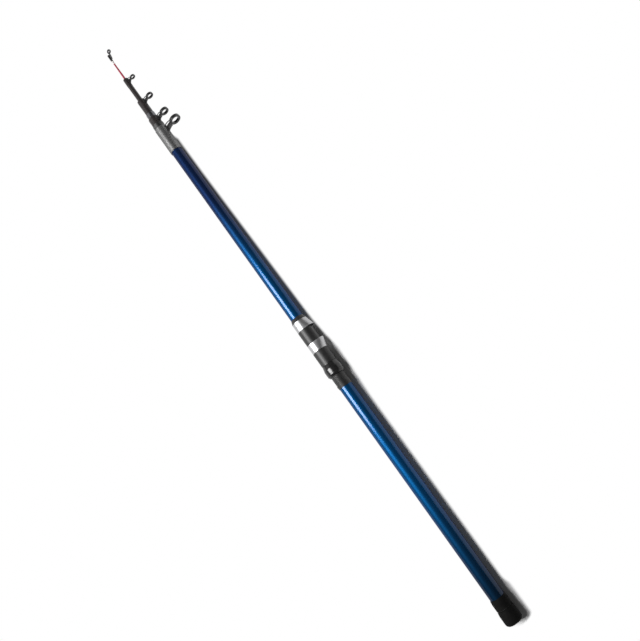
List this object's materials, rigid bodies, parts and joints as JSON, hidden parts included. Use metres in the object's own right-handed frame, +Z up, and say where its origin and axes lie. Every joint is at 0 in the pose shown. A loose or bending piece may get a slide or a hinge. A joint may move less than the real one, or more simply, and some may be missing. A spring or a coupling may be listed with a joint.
{
  "type": "telescopic fishing rod",
  "caption": "Closed telescopic fishing rod: tapered blue butt tube, nested black sections with ring guides, red tip, screw-lock reel seat with steel hoods and a rubber butt cap.",
  "frame": {"origin": "centre of the butt cap's flat end face, on the rod's axis", "axes": "+X along the rod from butt to tip, -Y the side that the guides and hoods stand on, +Z up"},
  "size_m": [1.1878, 0.0576, 0.031],
  "materials": {
    "blue_lacquer": "glossy metallic lacquer on glass fibre",
    "grey_binding": "silver-grey thread binding under clear varnish",
    "mouth_ring": "dark grey satin",
    "black_fibre": "black varnished glass fibre",
    "black_sleeve": "black satin moulding",
    "bright_ring": "satin anodised",
    "red_lacquer": "glossy red lacquer on solid glass fibre",
    "pale_thread": "pale varnished thread",
    "guide_frame": "black coated stamping",
    "guide_ring": "polished black",
    "hood_steel": "polished stainless steel",
    "washer_steel": "black oxide",
    "seat_plastic": "satin black moulding",
    "nut_plastic": "glossy black moulding",
    "plug_plastic": "plain dark moulding",
    "cap_rubber": "matt black",
    "pad_foam": "soft dark grey",
    "arbor_paper": "plain tape"
  },
  "bodies": {
    "butt": {"butt_tube": "blue_lacquer", "mouth_ring": "mouth_ring", "butt_guide_binding": "grey_binding", "butt_guide_frame": "guide_frame", "butt_guide_ring": "guide_ring", "butt_ferrule": "cap_rubber", "threaded_insert": "plug_plastic", "seat_body": "seat_plastic", "seat_front_trim": "seat_plastic", "seat_rear_trim": "seat_plastic", "seat_front_arbor": "arbor_paper", "seat_rear_arbor": "arbor_paper", "front_hood": "hood_steel"},
    "sliding_hood": {"hood_carriage": "seat_plastic", "sliding_hood": "hood_steel", "thrust_washer": "washer_steel"},
    "lock_nut": {"lock_nut": "nut_plastic"},
    "seal": {"sealing_washer": "pad_foam"},
    "butt_cap": {"screw_plug": "plug_plastic", "rubber_cap": "cap_rubber", "section_pad": "pad_foam"},
    "second_section": {"second_tube": "black_fibre", "second_sleeve": "black_sleeve", "second_front_ring": "bright_ring", "second_guide_frame": "guide_frame", "second_guide_ring": "guide_ring"},
    "third_section": {"third_tube": "black_fibre", "third_sleeve": "black_sleeve", "third_guide_frame": "guide_frame", "third_guide_ring": "guide_ring"},
    "fourth_section": {"fourth_tube": "black_fibre", "fourth_sleeve": "black_sleeve", "fourth_collar": "black_sleeve", "fourth_guide_frame": "guide_frame", "fourth_guide_ring": "guide_ring"},
    "tip_section": {"tip_rod": "red_lacquer", "tip_binding": "pale_thread", "tip_top_tube": "guide_frame", "tip_top_frame": "guide_frame", "tip_top_ring": "guide_ring"}
  },
  "joints": [
    {"name": "second_section_slide", "type": "slide", "parent": "butt", "child": "second_section", "axis": [1, 0, 0], "range_m": [0, 0.8897]},
    {"name": "third_section_slide", "type": "slide", "parent": "second_section", "child": "third_section", "axis": [1, 0, 0], "range_m": [0, 0.9262]},
    {"name": "fourth_section_slide", "type": "slide", "parent": "third_section", "child": "fourth_section", "axis": [1, 0, 0], "range_m": [0, 0.9669]},
    {"name": "tip_section_slide", "type": "slide", "parent": "fourth_section", "child": "tip_section", "axis": [1, 0, 0], "range_m": [0, 1.0327]},
    {"name": "hood_slide", "type": "slide", "parent": "butt", "child": "sliding_hood", "axis": [1, 0, 0], "range_m": [-0.017, 0]},
    {"name": "nut_turn", "type": "hinge", "parent": "sliding_hood", "child": "lock_nut", "pos_m": [0.46, 0, 0], "axis": [1, 0, 0], "range_deg": [-2448, 0]},
    {"name": "cap_slide", "type": "slide", "parent": "butt", "child": "seal", "axis": [1, 0, 0], "range_m": [-0.017, 0]},
    {"name": "cap_turn", "type": "hinge", "parent": "seal", "child": "butt_cap", "pos_m": [0.012, 0, 0], "axis": [1, 0, 0], "range_deg": [-3060, 0]}
  ],
  "couplings": [
    {"joint": "hood_slide", "follows": "nut_turn", "m_per_rad": 0.00039789},
    {"joint": "cap_slide", "follows": "cap_turn", "m_per_rad": 0.00031831}
  ]
}
